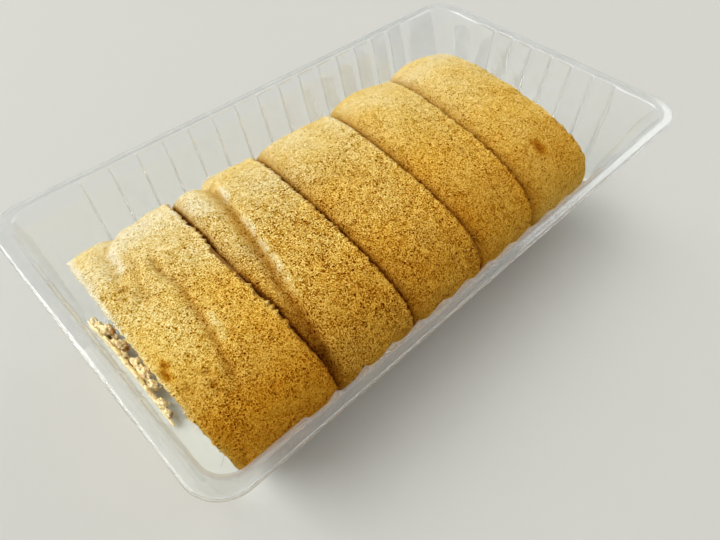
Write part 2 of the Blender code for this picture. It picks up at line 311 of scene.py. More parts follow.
def slice_x(index, u, y, z):
    front = cut_x(CUTS[index], y, z) + SLICE_GAP / 2
    back = cut_x(CUTS[index + 1], y, z) - SLICE_GAP / 2
    return front + (back - front) * u


def bell(x):
    return np.exp(-x * x)


def smooth(x):
    x = np.clip(x, 0.0, 1.0)
    return x * x * (3 - 2 * x)


def grain(points, size, seed=0.0, octaves=1):
    """Noise from -1 to 1 at the points, with lumps about `size` across."""
    shift = Vector((seed * 17.3, seed * 7.1, seed * 3.7))
    value = np.zeros(len(points))
    for octave in range(octaves):
        step = size / 2 ** octave
        value += [noise.noise(Vector(p) / step + shift) / 2 ** octave for p in points]
    return value


def line_field(points, line):
    """Distance of each point from a line, which side of it (+1 towards +X) and how far along."""
    nodes = np.array(line)
    run = np.concatenate(([0.0], np.cumsum(np.linalg.norm(np.diff(nodes, axis=0), axis=1))))
    best = np.full(len(points), 1e9)
    side = np.ones(len(points))
    along = np.zeros(len(points))
    for a, b, start in zip(nodes, nodes[1:], run):
        d = b - a
        length = np.linalg.norm(d)
        t = np.clip((points - a) @ d / length ** 2, 0, 1)
        away = points - (a + t[:, None] * d)
        dist = np.linalg.norm(away, axis=1)
        near = dist < best
        best[near] = dist[near]
        side[near] = np.where(away[near, 0] >= 0, 1.0, -1.0)
        along[near] = (start + t[near] * length) / run[-1]
    return best, side, along


def skin_lift(index, u, y, z):
    """How far the skin of a slice stands off the plain section, without creases."""
    top = np.clip((z - WIDEST_Z) / 8.0, 0, 1)
    shoulder = np.maximum(0.0, 0.5 + 0.5 * (y - ROLL_Y) / ROLL_HALF_WIDTH) * top
    lift = DOME[index] * shoulder * np.sin(np.pi * np.clip(u, 0, 1)) ** DOME_SPREAD
    if index > 0:
        lift = lift - TUCK * top * np.exp(-u / TUCK_REACH)
    return lift


def crease_marks(place):
    """How deep the creases dent the skin, how pale they rub it, and how much shade is painted into them.
    """
    marks = np.zeros((3, len(place)))
    wobble = 1 + 0.22 * grain(place, 6.0, 9.0)
    rubbed = np.clip(0.4 + 0.8 * grain(place, 1.8, 13.0, 2) + 1.6 * grain(place, 8.0, 15.0), 0, 1.2)
    for line, depth, left, right, shade, streak, streak_off, first, last in CREASES:
        dist, side, along = line_field(place, line)
        reach = np.where(side > 0, right, left)
        ends = smooth(along / 0.10) * smooth((1 - along) / 0.16)
        begun = smooth((along - 0.6 * first) / 0.15)
        fade = smooth((along - first) / 0.12) * smooth((last - along) / 0.15)
        marks += (depth * ends * wobble * bell(dist / reach),
                  streak * fade * rubbed * bell((dist * side - streak_off) / 1.25),
                  shade * ends * begun * bell((dist * side - 0.1) / (0.6 * reach)))
    return marks


def pit_marks(place):
    """The same for the pits, which have shade painted into them."""
    marks = np.zeros((3, len(place)))
    for center, radius, depth in PITS:
        pit = depth * bell(np.linalg.norm(place - np.array(center), axis=1) / radius)
        marks += (pit, 0 * pit, 0.9 * pit)
    return marks


def spot_marks(place):
    """The same for the dark spots of the skin, which are ragged, golden and a little dented. Their
    darkening is their own colour, not shade.
    """
    marks = np.zeros((3, len(place)))
    for center, half in SPOTS:
        dist = np.linalg.norm((place - np.array(center)) / np.array(half), axis=1)
        spot = bell(dist * (1 + 0.35 * grain(place, 2.2, 21.0)))
        marks += (0.5 * spot, -1.3 * spot, 1.15 * spot)
    return marks


def crack_marks(index, mm, y, top):
    """The same for the crack in front of a slice, which is widest low down in the stray cut: a dent,
    and painted shadow from the slice before it, softer and wider from slice 3 on.
    """
    low = smooth((-20.0 - y) / 16.0) * (index == STRAY_CUT)
    soft = 0.8 * (index > 1)
    # Painted shadow cast into the crack by the slice before.
    shade = (1.1 + 0.2 * low) * np.exp(-mm / (1.6 + 1.3 * low + soft))
    shade += (1.6 - 0.5 * soft) * bell(mm / 0.7)
    return np.array((0.9 * low * top * np.exp(-mm / 3.0), 0 * y, shade * top))


def front_marks(u, mm, y, place):
    """The same for the front of slice 1, whose edge is bleached, with a milky patch behind it."""
    bleached = (0.8 + 0.5 * grain(place, 2.0, 3.0)) * (1 - 0.3 * bell((y + 20.0) / 13.0))
    milky = bell((u - 0.2) / 0.3) * bell((y + 17.0) / 13.0)
    return np.array((0 * y, bleached * bell(mm / 1.3) + 0.33 * milky, -0.1 * milky))


def skin_places(index, mm, width, outline):
    """Places of a slice's skin points `mm` behind its front cut, how pale they are, and their painted
    shade with the dark spots.
    """
    y, z = outline[:, 0], outline[:, 1]
    u, mm_back = mm / width, width - mm
    has_next = index < SLICES - 1
    place = np.column_stack([slice_x(index, u, y, z), y, z])
    top = smooth((z - 8.0) / 10.0)
    lift = skin_lift(index, u, y, z)
    # The cut edges are rounded and worn, and the back one swells a little over the crack.
    worn = 0.75 + 0.5 * grain(place, 3.0, 2.0)
    shut = 2.2 if index > 0 else 0.8
    lift -= EDGE_ROUND * top * (shut * np.exp(-mm / 1.7) + 0.25 * bell(mm_back / 0.3)) * worn
    lift += 0.35 * top * bell((mm_back - 0.9) / 1.1) * has_next
    # Soft lumps from baking, finer ones on top of them.
    lift += 0.34 * grain(place, 11.0, 1.0) * top + 0.13 * grain(place, 3.2, 5.0, 2) * top
    marks = crease_marks(place) + pit_marks(place) + spot_marks(place)
    marks += crack_marks(index, mm, y, top) if index > 0 else front_marks(u, mm, y, place)
    dent, pale, shade_and_spots = marks
    grow = 1 + (lift - dent) / np.hypot(y - ROLL_Y, z - WIDEST_Z)
    new_y = ROLL_Y + (y - ROLL_Y) * grow
    new_z = np.clip(WIDEST_Z + (z - WIDEST_Z) * grow, SOLE_Z, TOP_Z)
    new_x = slice_x(index, u, new_y, new_z)
    # The knife leaves the skin's edges ragged and rubbed, most of all at the back of slice 1. The pale
    # rim by the back edge is partly rubbed crumb and partly a painted highlight on the raised edge.
    rag = grain(place, 1.2, 31.0, 2) * 0.7 + grain(place, 6.0, 33.0) * 0.3
    torn = 1.1 * bell((y + 21.0) / 11.0) * (index == 0)
    new_x += rag * top * (0.7 * bell(mm / 0.9) - (1 + torn) * bell(mm_back / 1.3))
    rim = (0.3 + 0.3 * torn) * (1 - 0.8 * smooth((-26.0 - y) / 8.0))
    # Painted shade on the back edge, where it rounds down into the crack.
    shade_and_spots += 0.9 * top * bell(mm_back / 0.4) * has_next
    pale += rim * bell((mm_back - 0.5) / 0.7) * np.clip(0.6 + grain(place, 2.4, 35.0, 2), 0, 1.4)
    if STRAY_CUT in (index, index + 1):
        away = mm if index == STRAY_CUT else mm_back
        new_x += np.interp(y, *zip(*STRAY)) * np.exp(-away / 5.0) * top
    return np.column_stack([new_x, new_y, new_z]), pale, shade_and_spots


def skin_tones(index, mm, y, pale, shade_and_spots):
    """How much browning the skin has, how open its pores are and how much painted shade it has, at
    places along Y.
    """
    # The skin is palest on the open side, with the faintest pores, and browner down the other: partly
    # its own browning and partly painted shade, with the pores washed out by painted light on the lit,
    # open side. More painted shade lies at the foot of the other side and where it turns down.
    # Slice 1 and the ridge in front of the furrow are the least open. A patch by slice 1's front
    # rim is closed and more golden.
    bright, deep, foot, turned, openness = TONES[index]
    side = smooth((24.0 - y) / 62.0)
    under = smooth((-34.0 - y) / 8.0)
    ridge = (index == 1) * smooth((11.0 - mm) / 4.0)
    closed = 0.13 if index == 0 else 0.1 * ridge
    patch = (index == 0) * bell((mm - 2.0) / 4.0) * bell((y + 20.0) / 13.0)
    baking_and_shade = bright + (deep - bright) * side + foot * under - 0.5 * pale - 0.4 * closed
    baking_and_shade += 0.1 * patch - 0.1 * ridge * smooth((y + 22.0) / 16.0)
    pores_open = (0.17 + 0.63 * (1 - (1 - side) ** 3)) * (1 - 0.8 * np.clip(pale, 0, 1))
    pores_open *= openness * (1 - 0.35 * np.clip(shade_and_spots, 0, 1)) * (1 - closed) * (1 - 0.5 * patch)
    return baking_and_shade, pores_open, shade_and_spots + 0.25 * foot * under + turned * bell((y + 34.5) / 6.5)


# ---------------------------------------------------------------- mesh tools


def first_ring(form, places, cap=True):
    ring = bmesh.ops.create_circle(form, cap_ends=cap, segments=len(places), radius=1.0)["verts"]
    for vert, place in zip(ring, places):
        vert.co = place
    return ring


def ring_edges(form, ring):
    return [form.edges.get((vert, ring[i - 1])) for i, vert in enumerate(ring)]


def next_ring(form, ring, places):
    """Extrude the ring's edges and move the new ring to the given places."""
    made = bmesh.ops.extrude_edge_only(form, edges=ring_edges(form, ring))["geom"]
    fresh = {item for item in made if isinstance(item, bmesh.types.BMVert)}
    new_ring = []
    for vert, place in zip(ring, places):
        twin = next(e.other_vert(vert) for e in vert.link_edges if e.other_vert(vert) in fresh)
        twin.co = place
        new_ring.append(twin)
    return new_ring


def finish_piece(name, form, materials, nodes=(), smooth_angle=None):
    """Turn a form in millimetres into a piece that rides on the part's body."""
    bmesh.ops.scale(form, vec=(MM, MM, MM), verts=form.verts)
    bmesh.ops.recalc_face_normals(form, faces=form.faces)
    mesh = bpy.data.meshes.new(name)
    form.to_mesh(mesh)
    form.free()
    mesh.shade_smooth()
    if smooth_angle is not None:
        mesh.set_sharp_from_angle(angle=math.radians(smooth_angle))
    for material in materials:
        mesh.materials.append(material)
    piece = bpy.data.objects.new(name, mesh)
    bpy.context.scene.collection.objects.link(piece)
    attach(piece, BODY)
    if nodes:
        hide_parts(*nodes)
    return piece


# ---------------------------------------------------------------- materials


def add_node(tree, kind, settings=None, links=None):
    """Add a node, set its properties and sockets, link its inputs, and return its first output."""
    node = tree.nodes.new(kind)
    for name, value in (settings or {}).items():
        if isinstance(name, str) and hasattr(node, name):
            setattr(node, name, value)
        else:
            node.inputs[name].default_value = value
    for name, source in (links or {}).items():
        tree.links.new(source, node.inputs[name])
    return next(socket for socket in node.outputs if socket.enabled)


def new_material(name):
    """A material, its tree, its shader, and its places on the object in millimetres."""
    material = bpy.data.materials.new(name)
    material.use_nodes = True
    tree = material.node_tree
    coordinates = add_node(tree, "ShaderNodeTexCoord").node.outputs["Object"]
    place = add_node(tree, "ShaderNodeMapping", {"Scale": (1000, 1000, 1000)}, {"Vector": coordinates})
    return material, tree, tree.nodes["Principled BSDF"], place


def dress_shader(tree, shader, values):
    """Link the shader's named sockets to other nodes, or set them to plain values."""
    for name, value in values.items():
        if isinstance(value, bpy.types.NodeSocket):
            tree.links.new(value, shader.inputs[name])
        else:
            shader.inputs[name].default_value = value


def warped(tree, place, size, amount):
    """Places shifted by noise, so that cells lose their even shapes."""
    swirl = add_node(tree, "ShaderNodeTexNoise", {"Scale": 1.0 / size, "Detail": 1.0},
                     {"Vector": place})
    centred = add_node(tree, "ShaderNodeVectorMath", {"operation": "SUBTRACT", 1: (0.5, 0.5, 0.5)},
                       {0: swirl.node.outputs["Color"]})
    return add_node(tree, "ShaderNodeVectorMath",
                    {"operation": "MULTIPLY_ADD", 1: (amount, amount, amount)}, {0: centred, 2: place})


def pores(tree, place, spacing, widest, narrowest, blur):
    """Round hollows in cells `spacing` mm apart: 1 in a pore and 0 on the walls between. Each cell's
    own random number gives its pore a radius between the two given, as shares of the spacing."""
    distance = add_node(tree, "ShaderNodeTexVoronoi", {"Scale": 1.0 / spacing}, {"Vector": place})
    draw = add_node(tree, "ShaderNodeSeparateColor", {}, {"Color": distance.node.outputs["Color"]})
    radius = add_node(tree, "ShaderNodeMath", {"operation": "MULTIPLY_ADD", 1: widest - narrowest,
                                               2: narrowest}, {0: draw})
    depth = add_node(tree, "ShaderNodeMath", {"operation": "SUBTRACT"}, {0: radius, 1: distance})
    return add_node(tree, "ShaderNodeMapRange",
                    {"interpolation_type": "SMOOTHSTEP", "From Min": -blur, "From Max": blur},
                    {"Value": depth})


def baked_skin(settings):
    """Sponge skin: the outside of a sponge sheet as it came from the oven, peeled from its paper. It is
    matt and finely open. It browns from pale cream over gold to dark tan, most in its pores and least on
    the walls between them, and rubs off to pale crumb. Shade in its creases, cracks and pits and down
    its shaded side is painted in through the slices' tones."""
    material, tree, shader, place = new_material("baked_sponge_skin")
    size = settings.pore_size
    bent = warped(tree, place, 0.9, 0.35)
    wide = pores(tree, bent, 1.9 * size, 0.33, 0.02, 0.15)
    narrow = pores(tree, bent, size, 0.46, 0.06, 0.18)
    grains = add_node(tree, "ShaderNodeTexNoise", {"Scale": 2.9, "Detail": 2.0, "Roughness": 0.7},
                      {"Vector": place})
    # Depth in the pores: wide ones, narrow ones between them, and grain of 0.35 mm.
    pore = add_node(tree, "ShaderNodeMath", {"operation": "MULTIPLY_ADD", 1: 0.85},
                    {0: narrow, 2: wide})
    grit = add_node(tree, "ShaderNodeMapRange", {"From Min": 0.66, "From Max": 0.3, "To Min": -0.35,
                                                 "To Max": 1.1}, {"Value": grains})
    pore = add_node(tree, "ShaderNodeMath", {"operation": "ADD"}, {0: pore, 1: grit})
    # Pores stand in clusters 2 mm across.
    crowds = add_node(tree, "ShaderNodeTexNoise", {"Scale": 0.55, "Detail": 1.0}, {"Vector": place})
    crowd = add_node(tree, "ShaderNodeMapRange", {"From Min": 0.66, "From Max": 0.3, "To Min": -0.12,
                                                  "To Max": 0.2}, {"Value": crowds})
    pore = add_node(tree, "ShaderNodeMath", {"operation": "ADD"}, {0: pore, 1: crowd})
    pore = add_node(tree, "ShaderNodeMath", {"operation": "MAXIMUM", 1: 0.0}, {0: pore})
    pore = add_node(tree, "ShaderNodeMath", {"operation": "POWER", 1: 1.35}, {0: pore})
    # Patches of deeper and shallower pores, 5 to 15 mm across.
    patches = add_node(tree, "ShaderNodeTexNoise", {"Scale": 0.15, "Detail": 3.0}, {"Vector": place})
    patchy = add_node(tree, "ShaderNodeMapRange",
                      {"From Min": 0.35, "From Max": 0.65, "To Min": 0.65, "To Max": 1.25},
                      {"Value": patches})
    # The slices' pore share, lowered on the lit, open side so that painted light washes the pores out
    # there.
    density = add_node(tree, "ShaderNodeAttribute", {"attribute_name": "pore_density"})
    share = add_node(tree, "ShaderNodeMath", {"operation": "MULTIPLY"}, {0: patchy, 1: density})
    depth = add_node(tree, "ShaderNodeMath", {"operation": "MULTIPLY"}, {0: pore, 1: share})
    depth = add_node(tree, "ShaderNodeMath", {"operation": "MULTIPLY", 1: 1.65}, {0: depth})
    # Measures of painted shade: in creases, cracks and pits, down the shaded side and where it turns
    # down, with the darkening of the dark spots; and a painted gleam on light grains on the walls between
    # the pores.
    gleam = add_node(tree, "ShaderNodeMapRange", {"From Min": 0.5, "From Max": 0.72, "To Min": 0.0,
                                                  "To Max": -0.45}, {"Value": grains})
    painted_shade_and_spots = add_node(tree, "ShaderNodeAttribute", {"attribute_name": "painted_shade_and_spots"})
    painted_shade_and_spots = add_node(tree, "ShaderNodeMath", {"operation": "MULTIPLY_ADD"}, {0: gleam, 1: share, 2: painted_shade_and_spots})
    # Measures of browning: over the skin, with painted shade down its shaded side and at its foot, and
    # in drifts of 15 mm.
    drift = add_node(tree, "ShaderNodeTexNoise", {"Scale": 0.07, "Detail": 4.0}, {"Vector": place})
    drift = add_node(tree, "ShaderNodeMapRange", {"From Min": 0.3, "From Max": 0.7, "To Min": -0.1,
                                                  "To Max": 0.14}, {"Value": drift})
    baking_and_shade = add_node(tree, "ShaderNodeAttribute", {"attribute_name": "bake_and_painted_shade"})
    measure = add_node(tree, "ShaderNodeMath", {"operation": "ADD"}, {0: drift, 1: baking_and_shade})
    measure = add_node(tree, "ShaderNodeMath", {"operation": "MAXIMUM", 1: -0.15}, {0: measure})
    skin_browning_and_shade = add_node(tree, "ShaderNodeGamma", {"Color": rgba(settings.browning)}, {"Gamma": measure})
    dark = add_node(tree, "ShaderNodeGamma", {"Color": rgba(settings.pore)}, {"Gamma": depth})
    shade = add_node(tree, "ShaderNodeGamma", {"Color": rgba(settings.painted_shade_and_spot_tint)}, {"Gamma": painted_shade_and_spots})
    color = add_node(tree, "ShaderNodeMix", {"data_type": "RGBA", "blend_type": "MULTIPLY", 0: 1.0,
                                             6: rgba(settings.pale)}, {7: skin_browning_and_shade})
    for tone in (dark, shade):
        color = add_node(tree, "ShaderNodeMix", {"data_type": "RGBA", "blend_type": "MULTIPLY",
                                                 "clamp_result": True, 0: 1.0}, {6: color, 7: tone})
    bump = add_node(tree, "ShaderNodeBump", {"Strength": 1.0, "Distance": 0.00018, "invert": True},
                    {"Height": pore})
    dull = add_node(tree, "ShaderNodeMapRange", {"To Min": 0.82, "To Max": 0.97}, {"Value": pore})
    dress_shader(tree, shader, {
        "Base Color": color, "Normal": bump, "Roughness": dull, "IOR": 1.45,
        "Specular IOR Level": 0.05, "Subsurface Weight": 0.06,
        "Subsurface Radius": (1.0, 0.5, 0.15), "Subsurface Scale": 0.0006})
    return material


def cut_crumb(settings):
    """Sponge crumb: the cut inside of the sheet, pale yellow with fine grit and small open bubbles,
    and golden by its edge, where the skin is cut through. Down the cuts between slices that golden edge
    reaches deeper, as painted shade in the cracks."""
    material, tree, shader, place = new_material("cut_sponge_crumb")
    bent = warped(tree, place, 0.9, 0.6)
    wide = pores(tree, bent, 2.2, 0.34, -0.25, 0.16)
    narrow = pores(tree, bent, 0.9, 0.5, 0.0, 0.2)
    grains = add_node(tree, "ShaderNodeTexNoise", {"Scale": 1.6, "Detail": 3.0, "Roughness": 0.75},
                      {"Vector": place})
    grit = add_node(tree, "ShaderNodeMapRange", {"From Min": 0.56, "From Max": 0.3}, {"Value": grains})
    holes = add_node(tree, "ShaderNodeMath", {"operation": "MULTIPLY_ADD", 1: 0.5},
                     {0: narrow, 2: grit})
    holes = add_node(tree, "ShaderNodeMath", {"operation": "MULTIPLY_ADD", 1: 0.8}, {0: wide, 2: holes})
    drift = add_node(tree, "ShaderNodeTexNoise", {"Scale": 0.18, "Detail": 3.0}, {"Vector": place})
    tone = add_node(tree, "ShaderNodeMapRange", {"From Min": 0.3, "From Max": 0.7, "To Max": 0.25},
                    {"Value": drift})
    body = add_node(tree, "ShaderNodeMix", {"data_type": "RGBA", 6: rgba(settings.crumb),
                                            7: rgba(settings.hole)}, {0: tone})
    depth = add_node(tree, "ShaderNodeMath", {"operation": "MULTIPLY", 1: 0.8}, {0: holes})
    color = add_node(tree, "ShaderNodeMix", {"data_type": "RGBA", 7: rgba(settings.hole)},
                     {0: depth, 6: body})
    # The golden line of the cut skin, with painted shade down the cracks between the slices.
    rim = add_node(tree, "ShaderNodeAttribute", {"attribute_name": "skin_line_and_crack_shade"})
    color = add_node(tree, "ShaderNodeMix", {"data_type": "RGBA", 7: rgba(linear("#ae741d"))},
                     {0: rim, 6: color})
    bump = add_node(tree, "ShaderNodeBump", {"Strength": 0.8, "Distance": 0.0003, "invert": True},
                    {"Height": holes})
    dress_shader(tree, shader, {
        "Base Color": color, "Normal": bump, "Roughness": 0.92, "Specular IOR Level": 0.25,
        "Subsurface Weight": 0.1, "Subsurface Radius": (1.0, 0.7, 0.35), "Subsurface Scale": 0.001})
    return material


def whipped_cream(settings):
    """Whipped cream: spread with a palette knife and cut with the cake. Smooth, off-white, slightly
    moist, with fine air bubbles and a soft glow under its surface."""
    material, tree, shader, place = new_material("whipped_cream")
    drift = add_node(tree, "ShaderNodeTexNoise", {"Scale": 0.35, "Detail": 3.0}, {"Vector": place})
    tone = add_node(tree, "ShaderNodeMapRange", {"From Min": 0.3, "From Max": 0.75}, {"Value": drift})
    color = add_node(tree, "ShaderNodeMix", {"data_type": "RGBA", 6: rgba(settings.cream),
                                             7: rgba(linear("#f8ebcb"))}, {0: tone})
    # Most of its bubbles are too fine to show, so they are drawn up to 0.4 mm across.
    bubbles = pores(tree, place, 0.9, 0.2, -0.2, 0.1)
    bump = add_node(tree, "ShaderNodeBump", {"Strength": 0.5, "Distance": 0.0002, "invert": True},
                    {"Height": bubbles})
    gloss = add_node(tree, "ShaderNodeMapRange", {"From Min": 0.2, "From Max": 0.8, "To Min": 0.38,
                                                  "To Max": 0.55}, {"Value": drift})
    dress_shader(tree, shader, {
        "Base Color": color, "Normal": bump, "Roughness": gloss, "IOR": 1.45, "Subsurface Weight": 0.4,
        "Subsurface Radius": (1.0, 0.9, 0.7), "Subsurface Scale": 0.002})
    return material


def torn_sponge(settings):
    """Torn sponge: a strip that stayed behind when a slice was taken out. Its torn face is rough,
    cream-yellow on the ridges and browner in the hollows and where the skin is, and its lumps carry
    painted shade on their sides away from the light."""
    material, tree, shader, place = new_material("torn_sponge")
    lumps = add_node(tree, "ShaderNodeTexNoise", {"Scale": 0.38, "Detail": 3.0, "Roughness": 0.6},
                     {"Vector": place})
    tone = add_node(tree, "ShaderNodeMapRange", {"From Min": 0.42, "From Max": 0.68},
                    {"Value": lumps})
    body = add_node(tree, "ShaderNodeMix", {"data_type": "RGBA", 6: rgba(settings.crumb),
                                            7: rgba(linear("#fbdfb2"))}, {0: tone})
    holes = pores(tree, warped(tree, place, 0.9, 0.7), 1.2, 0.5, 0.0, 0.18)
    depth = add_node(tree, "ShaderNodeMath", {"operation": "MULTIPLY", 1: 0.35}, {0: holes})
    color = add_node(tree, "ShaderNodeMix", {"data_type": "RGBA", 7: rgba(linear("#cf9f5c"))},
                     {0: depth, 6: body})
    # The lumps' browning, with painted shade on their sides away from the light.
    lump_browning_and_shade = add_node(tree, "ShaderNodeAttribute", {"attribute_name": "lump_browning_and_shade"})
    color = add_node(tree, "ShaderNodeMix", {"data_type": "RGBA", 7: rgba(linear("#b5722a"))},
                     {0: lump_browning_and_shade, 6: color})
    bump = add_node(tree, "ShaderNodeBump", {"Strength": 1.0, "Distance": 0.0006, "invert": True},
                    {"Height": holes})
    dress_shader(tree, shader, {
        "Base Color": color, "Normal": bump, "Roughness": 0.9, "Specular IOR Level": 0.25,
        "Subsurface Weight": 0.25, "Subsurface Radius": (1.0, 0.7, 0.35), "Subsurface Scale": 0.002})
    return material


def clear_sheet(settings):
    """Clear PET: thin sheet, heated and drawn over a mould. It is glossy, a little blurred and wavy
    where it was stretched, and bends what is seen through it only in its folds."""
    material, tree, shader, place = new_material("clear_pet_sheet")
    haze = add_node(tree, "ShaderNodeTexNoise", {"Scale": 0.09, "Detail": 3.0}, {"Vector": place})
    blur = add_node(tree, "ShaderNodeMapRange", {"From Min": 0.35, "From Max": 0.7, "To Min": 0.03,
                                                 "To Max": 0.1}, {"Value": haze})
    waves = add_node(tree, "ShaderNodeTexNoise", {"Scale": 0.16, "Detail": 2.0}, {"Vector": place})
    bump = add_node(tree, "ShaderNodeBump", {"Strength": 0.25, "Distance": 0.0004}, {"Height": waves})
    dress_shader(tree, shader, {"Base Color": rgba(settings.tint), "Normal": bump, "Roughness": blur,
                                "IOR": 1.575, "Transmission Weight": 0.94})
    # So thin a sheet hardly bends light: a share of it, and all that falls on the cake, goes straight.
    path = add_node(tree, "ShaderNodeLightPath").node.outputs["Is Shadow Ray"]
    straight = add_node(tree, "ShaderNodeMath", {"operation": "MAXIMUM", 1: 0.5}, {0: path})
    through = add_node(tree, "ShaderNodeBsdfTransparent", {"Color": (0.97, 0.98, 0.98, 1.0)})
    mixed = add_node(tree, "ShaderNodeMixShader", {},
                     {0: straight, 1: shader.outputs["BSDF"], 2: through})
    tree.links.new(mixed, tree.nodes["Material Output"].inputs["Surface"])
    return material


def studio_floor(settings):
    """Painted board: matt and pale, with barely visible roller mottle. The roller's own grain of 1 or
    2 mm is too fine to show, so the mottle is drawn 50 mm wide."""
    material, tree, shader, place = new_material("matt_painted_board")
    mottle = add_node(tree, "ShaderNodeTexNoise", {"Scale": 0.02, "Detail": 4.0}, {"Vector": place})
    tone = add_node(tree, "ShaderNodeMapRange", {"From Min": 0.3, "From Max": 0.7, "To Max": 0.12},
                    {"Value": mottle})
    color = add_node(tree, "ShaderNodeMix", {"data_type": "RGBA", 6: rgba(settings.floor),
                                             7: rgba(linear("#c1c1bc"))}, {0: tone})
    dress_shader(tree, shader, {"Base Color": color, "Roughness": 0.8})
    return material


# ---------------------------------------------------------------- pieces


def build_slice(index, skin, crumb):
    """One slice: rings of skin from cut to cut, closed by two gridded cut faces."""
    count = 2 * (TOP_POINTS + SIDE_POINTS)
    outline = section_outline(count, shift=-SIDE_POINTS / 2)
    width = CUTS[index + 1][0] - CUTS[index][0] - SLICE_GAP
    inner = np.linspace(EDGE_STATIONS[-1], width - EDGE_STATIONS[-1],
                        int((width - 2 * EDGE_STATIONS[-1]) / SKIN_STEP))[1:-1]
    stations = list(EDGE_STATIONS) + list(inner) + [width - s for s in EDGE_STATIONS[::-1]]
    form = bmesh.new()
    layers = [form.verts.layers.float.new(name) for name in ("bake_and_painted_shade", "pore_density", "painted_shade_and_spots")]
    line_layer = form.verts.layers.float.new("skin_line_and_crack_shade")
    rings = []
    for mm in stations:
        places, pale, shade_and_spots = skin_places(index, mm, width, outline)
        ring = next_ring(form, rings[-1], places) if rings else first_ring(form, places, cap=False)
        for vert, *tones in zip(ring, *skin_tones(index, mm, places[:, 1], pale, shade_and_spots)):
            for layer, tone in zip(layers, tones):
                vert[layer] = float(tone)
            vert[line_layer] = 1.0
        rings.append(ring)
    close_cut(form, rings[0], CUTS[index], 1.0, line_layer)
    close_cut(form, rings[-1], CUTS[index + 1], -1.0, line_layer)
    name = f"slice_{index + 1}"
    return finish_piece(f"{name}_cake", form, (skin, crumb), (f"{name}_sponge",))


def close_cut(form, ring, cut, facing, line_layer):
    """Close a slice's end ring with a grid, and lay the grid's inner points on the cut."""
    edges = ring_edges(form, ring)
    sides = edges[1:SIDE_POINTS + 1] + edges[SIDE_POINTS + TOP_POINTS + 1:
                                             2 * SIDE_POINTS + TOP_POINTS + 1]
    face_count = len(form.faces)
    bmesh.ops.grid_fill(form, edges=sides, mat_nr=1, use_smooth=True, use_interp_simple=False)
    form.faces.ensure_lookup_table()
    inside = list({vert for face in form.faces[face_count:] for vert in face.verts} - set(ring))
    # The grid's rows crowd and fold where the rim is ragged. Smoothing spreads them out.
    for _ in range(CUT_ROUNDS):
        bmesh.ops.smooth_vert(form, verts=inside, factor=0.5,
                              use_axis_x=True, use_axis_y=True, use_axis_z=True)
    places = np.array([vert.co for vert in inside])
    rim_places = np.array([vert.co for vert in ring[::3]])
    near = np.min(np.linalg.norm(places[:, None, 1:] - rim_places[None, :, 1:], axis=2), axis=1)
    # Cut crumb is a little rough.
    rough = 0.015 * grain(places, 2.0, 41.0, 2) + 0.05 * grain(places, 9.0, 43.0)
    blend = smooth(near / 2.5)
    x = cut_x(cut, places[:, 1], places[:, 2]) + facing * SLICE_GAP / 2 + rough
    x = places[:, 0] * (1 - blend) + x * blend
    # The golden line of the skin is painted faint and thin at the two ends, as the light bleaches it
    # there, and runs deeper down the cuts between the slices, partly its own colour and partly painted
    # shade in the cracks.
    line, reach = (0.3, 1.6) if cut in (CUTS[0], CUTS[-1]) else (1.0, 3.6)
    for vert, new_x, away in zip(inside, x, near):
        vert.co.x = new_x
        vert[line_layer] = line * float(bell(away / reach))


def swirl_outline(inset):
    """The cream's outline in the section: a ribbon along a spiral."""
    middle_z = (CROWN_Z + SOLE_Z) / 2

    def spine(t):
        share = SWIRL_IN + (SWIRL_OUT - SWIRL_IN) * t
        y, z = section_point(2 * math.pi * (SWIRL_START + SWIRL_TURNS * t))
        return ROLL_Y + share * (y - ROLL_Y), middle_z + share * (z - middle_z)

    inner, outer = [], []
    for i in range(SWIRL_STEPS + 1):
        t = i / SWIRL_STEPS
        y, z = spine(t)
        dy, dz = (q - p for p, q in zip(spine(t - 0.004), spine(t + 0.004)))
        length = math.hypot(dy, dz)
        ty, tz = dy / length, dz / length
        half = CREAM_HALF + (CREAM_CORE_HALF - CREAM_HALF) * max(0.0, 1 - t / 0.22)
        half *= 1 + 0.13 * noise.noise(Vector((t * 9.0, 3.1, 0.0)))
        tip = min(t, 1 - t) * SWIRL_STEPS
        half *= math.sqrt(min(1.0, 0.12 + tip / 4.0))
        half = max(0.15, half - inset)
        outer.append((y + tz * half, z - ty * half))
        inner.append((y - tz * half, z + ty * half))
    return outer + inner[::-1]


def build_cream(index, cream):
    """The cream of one slice: the swirl, drawn through and swelling a little at both cut faces."""
    form = bmesh.new()
    swells = ((-CREAM_PROUD, 0.45), (-CREAM_PROUD * 0.75, 0.2), (0.1, 0.0))
    stations = [(0.0, off, inset) for off, inset in swells]
    stations += [(u, 0.0, 0.0) for u in (0.25, 0.5, 0.75)]
    stations += [(1.0, -off, inset) for off, inset in reversed(swells)]
    ring = None
    for u, off, inset in stations:
        places = [(float(slice_x(index, u, y, z)) + off, y, z) for y, z in swirl_outline(inset)]
        ring = first_ring(form, places) if ring is None else next_ring(form, ring, places)
    bmesh.ops.contextual_create(form, geom=ring_edges(form, ring))
    name = f"slice_{index + 1}_cream"
    return finish_piece(f"{name}_swirl", form, (cream,), (name,), 50)


def flute_lift(t, pitch):
    """How far a flute stands out, at a share t of its pitch."""
    near = min(t, 1 - t) * pitch
    return (0.86 + 0.14 * math.sin(math.pi * t)) * (1 - math.exp(-(near / FLUTE_GROOVE) ** 2))


def wall_line(pitch, count):
    """Places along a fluted wall, closer together at the grooves, and the lift at each."""
    start = -pitch * count / 2
    line = []
    for i in range(count):
        for k in range(FLUTE_POINTS):
            even = k / FLUTE_POINTS
            t = even - 0.09 * math.sin(2 * math.pi * even)
            line.append((start + pitch * (i + t), flute_lift(t, pitch)))
    return line + [(-start, 0.0)]


